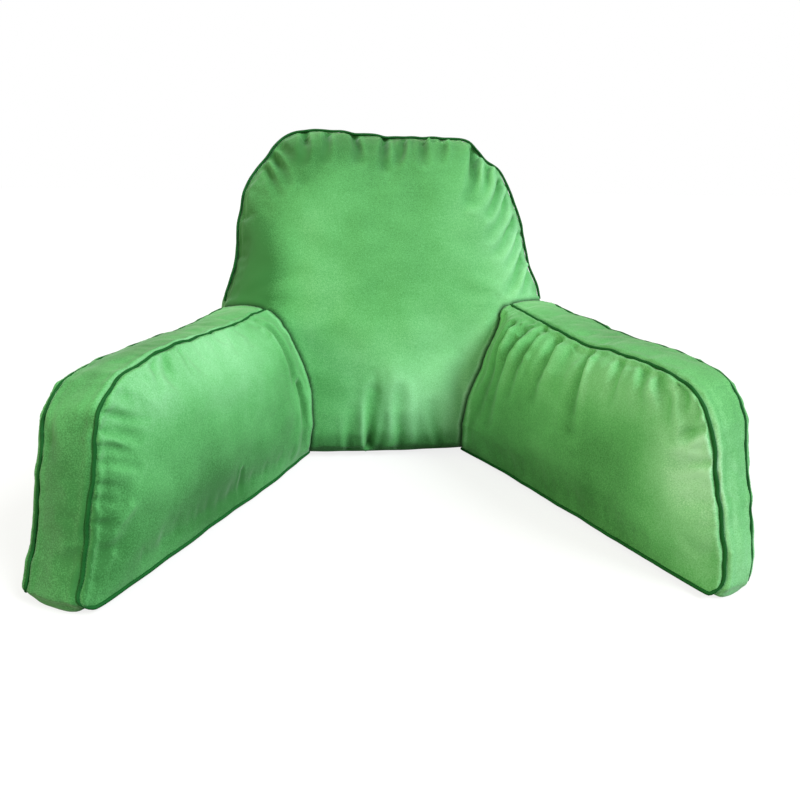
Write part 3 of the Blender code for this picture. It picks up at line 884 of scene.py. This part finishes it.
def add_puckers(points, normals, seam_map, seed):
    """Short gathers that run into the panels."""
    distance, travelled = seam_map.nearest(points)
    away = np.clip(1.0 - distance / PUCKER_REACH, 0.0, 1.0)
    away *= smooth_step(distance, *PUCKER_OFF_SEAM) * smooth_step(points[:, 2], *PUCKER_OFF_FLOOR)
    lanes = [noise.noise(Vector((place / PUCKER_SPACING, gap / PUCKER_LENGTH, seed)))
             for place, gap in zip(travelled, distance)]
    groups = [noise.noise(Vector((place / PUCKER_GROUP, seed, PUCKER_LAYER))) for place in travelled]
    strength = np.clip(PUCKER_EVEN + PUCKER_VARIED * np.array(groups), 0.0, 1.0)
    gather = np.array(lanes) * strength
    return points + normals * (PUCKER_DEPTH * gather * away)[:, None]


def make_cushion(piece_name, node_name, cords, touching, voxel, faces, sewn, neighbour, seed):
    """A filled cushion in the place of its CAD solid."""
    piece = copy_of_solid(node_name, piece_name)
    piece.data.remesh_voxel_size = voxel
    piece.data.use_remesh_preserve_volume = True
    select_only(piece)
    bpy.ops.object.voxel_remesh()
    seam_map = SeamMap([cord_line(cord) for cord in cords])
    points = get_points(piece)
    seam_distance, _ = seam_map.nearest(points)
    contact_distance = distance_to(touching, points)
    pins = pin_strength(points, seam_distance, contact_distance)
    loose = (1.0 - pins)[:, None]
    set_points(piece, points - get_normals(piece) * START_SHRINK * loose)
    ease = 1.0 - smooth_step(seam_distance, *EASE_FADE)
    crowned = smooth_step(get_normals(piece) @ np.array(faces[0][0][3]), *CROWNED_FACING)
    ease *= PLAIN_FACE_EASE + (1.0 - PLAIN_FACE_EASE) * crowned
    ease *= smooth_step(points[:, 2], *EASE_OFF_FLOOR)
    fill_with_pressure(piece, pins, ease)
    finer = piece.modifiers.new("finer", "SUBSURF")
    finer.levels = 1
    finer.render_levels = 1
    select_only(piece)
    bpy.ops.object.modifier_apply(modifier=finer.name)
    refine_near_seams(piece, seam_map)
    shape_cloth(piece, node_name, seam_map, touching, faces, sewn, neighbour, seed)
    bpy.ops.object.shade_smooth()
    return piece


def shape_cloth(piece, node_name, seam_map, touching, faces, sewn, neighbour, seed):
    """Seam valleys, gathers, creases and unevenness, on the filled mesh."""
    sewn_line, seam_valley = sewn
    points = get_points(piece)
    normals = get_normals(piece)
    seam_distance, _ = seam_map.nearest(points)
    contact_distance = distance_to(touching, points)
    free = smooth_step(seam_distance, *LUMP_OFF_SEAM) * smooth_step(points[:, 2], *LUMP_OFF_FLOOR)
    free *= smooth_step(contact_distance, *LUMP_OFF_CONTACT)
    lumps = LUMP_HEIGHT * noise_at(points, LUMP_SIZE, seed)
    ripples = RIPPLE_HEIGHT * noise_at(points, RIPPLE_SIZE, seed + 1)
    points = points + normals * ((lumps + ripples) * free)[:, None]
    points = add_puckers(points, normals, seam_map, seed)
    tone = np.zeros(len(points))
    for face, rows, _ in faces:
        points, crease_tone = add_creases(points, normals, seam_map, seam_distance, face, rows)
        tone += crease_tone
    # painted shade in the crease troughs and painted highlights on their ridges
    store_values(piece, "painted_light", tone)
    points = keep_to_solid(points, node_name, contact_distance)
    valley = seam_valley * bell(seam_distance, 0.0, SEAM_VALLEY_WIDTH)
    lip = SEAM_LIP_HEIGHT * bell(seam_distance, *SEAM_LIP)
    if neighbour is not None:
        lip += CONTACT_LIP_HEIGHT * bell(contact_distance, *CONTACT_LIP)
    lip *= smooth_step(points[:, 2], *LIP_OFF_FLOOR)
    points = points + normals * (lip - valley)[:, None]
    if neighbour is not None:
        points = draw_to_seam(points, faces[0][0], sewn_line, contact_distance)
        points = flare_out(points, faces[0][0])
    points = wobble(points, seam_distance)
    if neighbour is not None:
        points = rest_against(points, neighbour, contact_distance)
    points[:, 2] = np.maximum(points[:, 2], 0.0)
    set_points(piece, points)
    # painted shade along the piped seams
    store_values(piece, "seam_shade", PIPED_SHADE * bell(seam_distance, 0.0, PIPED_SHADE_REACH))


# Materials

def add_node(tree, kind, inputs=None, **settings):
    """A shader node with its settings, and values for its inputs by name or number."""
    node = tree.nodes.new("ShaderNode" + kind)
    for name, value in settings.items():
        setattr(node, name, value)
    for name, value in (inputs or {}).items():
        node.inputs[name].default_value = value
    return node


def join(tree, *links):
    """Link nodes: each row is a node and its output, then a node and its input."""
    for start, output, end, entry in links:
        tree.links.new(start.outputs[output], end.inputs[entry])


def nap_group():
    """Velvet nap: soft patches, streaks and a fine pile, with a height for bump."""
    group = bpy.data.node_groups.new("velvet nap", "ShaderNodeTree")
    socket = group.interface.new_socket
    socket(name="Vector", in_out="INPUT", socket_type="NodeSocketVector")
    for name, value in (("Patch Scale", BACK_PATCHES), ("Pile Scale", PILE_SCALE),
                        ("Streak Share", STREAK_SHARE)):
        socket(name=name, in_out="INPUT", socket_type="NodeSocketFloat").default_value = value
    for name in ("Tone", "Height"):
        socket(name=name, in_out="OUTPUT", socket_type="NodeSocketFloat")
    entry = group.nodes.new("NodeGroupInput")
    outcome = group.nodes.new("NodeGroupOutput")
    patches = add_node(group, "TexNoise", PATCH_NOISE)
    pile = add_node(group, "TexNoise", PILE_NOISE)
    stretch = add_node(group, "Mapping", STREAK_STRETCH)
    streaks = add_node(group, "TexNoise", STREAK_NOISE)
    blend = add_node(group, "Mix", data_type="FLOAT")
    calm = add_node(group, "Math", {1: NAP_CONTRAST, 2: NAP_BASE}, operation="MULTIPLY_ADD")
    speckle = add_node(group, "MapRange", PILE_RANGE)
    grain = add_node(group, "Math", {1: PILE_TONE}, operation="MULTIPLY_ADD")
    join(
        group,
        (entry, "Vector", patches, "Vector"), (entry, "Patch Scale", patches, "Scale"),
        (entry, "Vector", pile, "Vector"), (entry, "Pile Scale", pile, "Scale"),
        (entry, "Vector", stretch, "Vector"), (stretch, "Vector", streaks, "Vector"),
        (entry, "Streak Share", blend, "Factor"),
        (patches, "Fac", blend, "A"), (streaks, "Fac", blend, "B"),
        (blend, "Result", calm, 0), (pile, "Fac", speckle, "Value"),
        (speckle, "Result", grain, 0), (calm, "Value", grain, 2),
        (grain, "Value", outcome, "Tone"), (pile, "Fac", outcome, "Height"),
    )
    return group


def velvet(name, nap, shades, sheen, patches):
    """Velvet in these shades, with painted shade in the seams and the painted light and shade that the
    mesh's own values hold.
    """
    material = bpy.data.materials.new(name)
    material.use_nodes = True
    tree = material.node_tree
    shader = tree.nodes["Principled BSDF"]
    for entry, value in VELVET.items():
        shader.inputs[entry].default_value = value
    shader.inputs["Sheen Weight"].default_value = sheen
    place = add_node(tree, "TexCoord")
    nap_node = add_node(tree, "Group", {"Patch Scale": patches}, node_tree=nap)
    ramp = add_node(tree, "ValToRGB")
    stops = ramp.color_ramp.elements
    for stop, (position, colour) in zip(stops, (shades[0], shades[-1])):
        stop.position = position
        stop.color = colour
    for position, colour in shades[1:-1]:
        stops.new(position).color = colour
    # painted light and shade stored on the mesh, added to the nap's grain
    painted_light = add_node(tree, "Attribute", attribute_name="painted_light")
    tone = add_node(tree, "Math", operation="ADD", use_clamp=True)
    seam = add_node(tree, "Attribute", attribute_name="seam_shade")
    # painted shade in the seams
    shaded = add_node(tree, "Mix", {"B": PIPING_DEEP_AND_SEAM_SHADE}, data_type="RGBA")
    bump = add_node(tree, "Bump", PILE_BUMP)
    join(
        tree,
        (place, "Object", nap_node, "Vector"),
        (nap_node, "Tone", tone, 0), (painted_light, "Fac", tone, 1), (tone, "Value", ramp, "Fac"),
        (seam, "Fac", shaded, "Factor"), (ramp, "Color", shaded, "A"),
        (shaded, "Result", shader, "Base Color"),
        (nap_node, "Height", bump, "Height"), (bump, "Normal", shader, "Normal"),
    )
    return material


def plain_floor():
    """Pale floor that looks white to the camera and throws little light back up."""
    material = bpy.data.materials.new("pale floor")
    material.use_nodes = True
    tree = material.node_tree
    seen = tree.nodes["Principled BSDF"]
    for entry, value in FLOOR_SEEN.items():
        seen.inputs[entry].default_value = value
    bounced = add_node(tree, "BsdfDiffuse", {"Color": FLOOR_BOUNCE})
    rays = add_node(tree, "LightPath")
    choice = add_node(tree, "MixShader")
    join(
        tree,
        (rays, "Is Camera Ray", choice, "Fac"), (bounced, "BSDF", choice, 1),
        (seen, "BSDF", choice, 2), (choice, "Shader", tree.nodes["Material Output"], "Surface"),
    )
    return material


# Camera, floor and light

def add_camera():
    data = bpy.data.cameras.new("camera")
    data.sensor_width = SENSOR_WIDTH
    data.lens = FOCAL_PIXELS / IMAGE_PIXELS * SENSOR_WIDTH
    data.clip_start = CLIP_NEAR
    data.clip_end = CLIP_FAR
    forward = Vector((math.sin(CAMERA_YAW) * math.cos(CAMERA_PITCH),
                      math.cos(CAMERA_YAW) * math.cos(CAMERA_PITCH), -math.sin(CAMERA_PITCH)))
    level_right = Vector((math.cos(CAMERA_YAW), -math.sin(CAMERA_YAW), 0.0))
    level_up = level_right.cross(forward)
    right = level_right * math.cos(CAMERA_ROLL) + level_up * math.sin(CAMERA_ROLL)
    up = level_up * math.cos(CAMERA_ROLL) - level_right * math.sin(CAMERA_ROLL)
    turn = Matrix((right, up, -forward)).transposed()
    camera = bpy.data.objects.new("camera", data)
    camera.matrix_world = Matrix.Translation(CAMERA_PLACE) @ turn.to_4x4()
    bpy.context.scene.collection.objects.link(camera)
    bpy.context.scene.camera = camera


def add_far_light(name, turn, rise, power, spread, colour):
    data = bpy.data.lights.new(name, "SUN")
    data.energy = power
    data.angle = spread
    data.color = colour
    lamp = bpy.data.objects.new(name, data)
    source = Vector((math.sin(turn) * math.cos(rise), -math.cos(turn) * math.cos(rise), math.sin(rise)))
    lamp.location = source * LAMP_DISTANCE
    lamp.rotation_euler = source.to_track_quat("Z", "Y").to_euler()
    bpy.context.scene.collection.objects.link(lamp)


def add_sky():
    """Soft light that is strongest from above, behind a plain white backdrop."""
    world = bpy.data.worlds.new("studio")
    bpy.context.scene.world = world
    world.use_nodes = True
    tree = world.node_tree
    light = tree.nodes["Background"]
    light.inputs["Color"].default_value = SKY_COLOUR
    direction = add_node(tree, "TexCoord")
    parts = add_node(tree, "SeparateXYZ")
    climb = add_node(tree, "MapRange", {"To Min": SKY_SIDE, "To Max": SKY_TOP})
    backdrop = add_node(tree, "Background", {"Color": WHITE})
    rays = add_node(tree, "LightPath")
    choice = add_node(tree, "MixShader")
    join(
        tree,
        (direction, "Generated", parts, "Vector"), (parts, "Z", climb, "Value"),
        (climb, "Result", light, "Strength"), (rays, "Is Camera Ray", choice, "Fac"),
        (light, "Background", choice, 1), (backdrop, "Background", choice, 2),
        (choice, "Shader", tree.nodes["World Output"], "Surface"),
    )


def add_studio():
    bpy.ops.object.select_all(action="DESELECT")
    bpy.ops.mesh.primitive_plane_add(size=FLOOR_SIZE, location=(0.0, 0.0, -FLOOR_DROP))
    floor = bpy.context.active_object
    floor.name = "floor"
    floor.data.materials.append(plain_floor())
    add_sky()
    add_far_light("key", KEY_TURN, KEY_RISE, KEY_POWER, KEY_SPREAD, KEY_COLOUR)
    add_far_light("side", SIDE_TURN, SIDE_RISE, SIDE_POWER, SIDE_SPREAD, SIDE_COLOUR)
    bpy.context.scene.view_settings.view_transform = "Standard"


# The cushion

def build():
    noise.seed_set(WANDER_SEED)
    bpy.ops.object.select_all(action="DESELECT")
    nap = nap_group()
    back_velvet = velvet("back velvet", nap, VELVET_SHADES, VELVET_SHEEN, BACK_PATCHES)
    arm_velvet = velvet("arm velvet", nap, VELVET_SHADES, VELVET_SHEEN, ARM_PATCHES)
    cord_velvet = velvet("piping velvet", nap, PIPING_SHADES, PIPING_SHEEN, PIPING_PATCHES)

    arms = ("arm_left", "arm_right")
    cushions = (
        # piece, node, its cords, its neighbours, voxel, faces with their creases and painted light and
        # shade,
        # seam to the back with the depth of the piped seams, seed, velvet, fill
        ("back_filled", "back_cushion", ("back_piping_front", "back_piping_rear"), arms, BACK_VOXEL,
         ((BACK_FACES["front"], BACK_CREASES, BACK_PAINTED_LIGHT),
          (BACK_FACES["top"], BACK_TOP_CREASES, NO_PAINTED_LIGHT)),
         (None, BACK_SEAM_VALLEY), 1, back_velvet, BACK_FILL),
        ("arm_left_filled", "arm_left", ("arm_left_piping_inner", "arm_left_piping_outer"),
         ("back_cushion",), ARM_VOXEL,
         ((LEFT_FACES["inner"], LEFT_ARM_CREASES, LEFT_ARM_PAINTED_LIGHT),
          (LEFT_FACES["front"], LEFT_FRONT_CREASES, LEFT_FRONT_PAINTED_LIGHT),
          (LEFT_FACES["top"], NO_CREASES, LEFT_TOP_PAINTED_LIGHT)),
         (SEWN_IN_LEFT, ARM_SEAM_VALLEY), 2, arm_velvet, ARM_FILL),
        ("arm_right_filled", "arm_right", ("arm_right_piping_inner", "arm_right_piping_outer"),
         ("back_cushion",), ARM_VOXEL,
         ((RIGHT_FACES["inner"], RIGHT_ARM_CREASES, RIGHT_ARM_PAINTED_LIGHT),
          (RIGHT_FACES["front"], NO_CREASES, RIGHT_FRONT_PAINTED_LIGHT),
          (RIGHT_FACES["top"], NO_CREASES, RIGHT_TOP_PAINTED_LIGHT)),
         (SEWN_IN_RIGHT, ARM_SEAM_VALLEY), 3, arm_velvet, ARM_FILL),
    )
    back = None
    finished = []
    for piece_name, node_name, cords, touching, voxel, faces, sewn, seed, cloth, fill in cushions:
        beside = [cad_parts[name].data for name in touching]
        piece = make_cushion(piece_name, node_name, cords, beside, voxel, faces, sewn, back, seed)
        inner_face = faces[0][0] if back else None
        back = back or piece
        finished.append((piece, faces))
        piece.data.materials.append(cloth)
        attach(piece, "root")
        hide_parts(node_name)
        for cord_name in cords:
            line, closed = cord_line(cord_name)
            path = lay_cord(cord_name, line, closed, piece, inner_face, sewn[0])
            cord = make_cord(cord_name + "_sewn", path, closed)
            cord.data.materials.append(cord_velvet)
            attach(cord, "root")
            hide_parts(cord_name)
    filled_arms = [piece for piece, _ in finished[1:]]
    for piece, faces in finished:
        paint_light_and_shade(piece, faces, filled_arms if piece is back else [back])


build()
add_camera()
add_studio()
